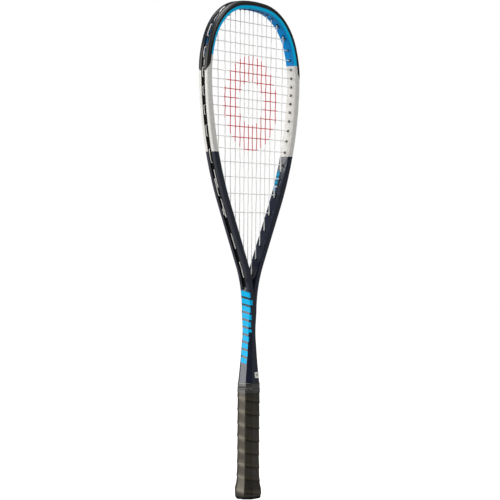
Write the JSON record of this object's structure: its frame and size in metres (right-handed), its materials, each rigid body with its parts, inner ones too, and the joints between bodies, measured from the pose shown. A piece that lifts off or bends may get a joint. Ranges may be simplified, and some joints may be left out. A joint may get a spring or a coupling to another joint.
{
  "type": "squash racket",
  "caption": "Squash racket with a teardrop hoop, woven string bed, head bumper, grommet strips, slim shaft flaring into a wrapped handle, and a flared butt cap.",
  "frame": {"origin": "centre of the butt cap's end face", "axes": "+Z from the butt to the tip of the head, X across the head, Y through the racket's depth; the strings lie in the plane y = 0"},
  "size_m": [0.2114, 0.0316, 0.686],
  "materials": {
    "frame_paint": "gloss lacquer over moulded carbon, with cyan, white and navy zones",
    "bumper_plastic": "satin moulded nylon",
    "grommet_plastic": "satin moulded nylon",
    "string": "satin nylon multifilament",
    "handle_paint": "gloss lacquer over moulded foam",
    "cap_plastic": "satin moulded plastic",
    "staple_steel": "bright drawn wire",
    "grip_leather": "perforated synthetic leather tape",
    "tape": "glossy vinyl tape",
    "label": "satin printed film"
  },
  "bodies": {
    "root": {"frame": "frame_paint", "bumper_guard": "bumper_plastic", "side_grommets_left": "grommet_plastic", "side_grommets_right": "grommet_plastic", "throat_grommets_left": "grommet_plastic", "throat_grommets_right": "grommet_plastic", "tie_off_grommets": "grommet_plastic", "main_string": "string", "cross_string": "string", "pallet_front": "handle_paint", "pallet_back": "handle_paint", "butt_cap": "cap_plastic", "butt_cap_staples": "staple_steel", "grip": "grip_leather", "finishing_tape": "tape", "handle_label": "label"}
  },
  "joints": []
}
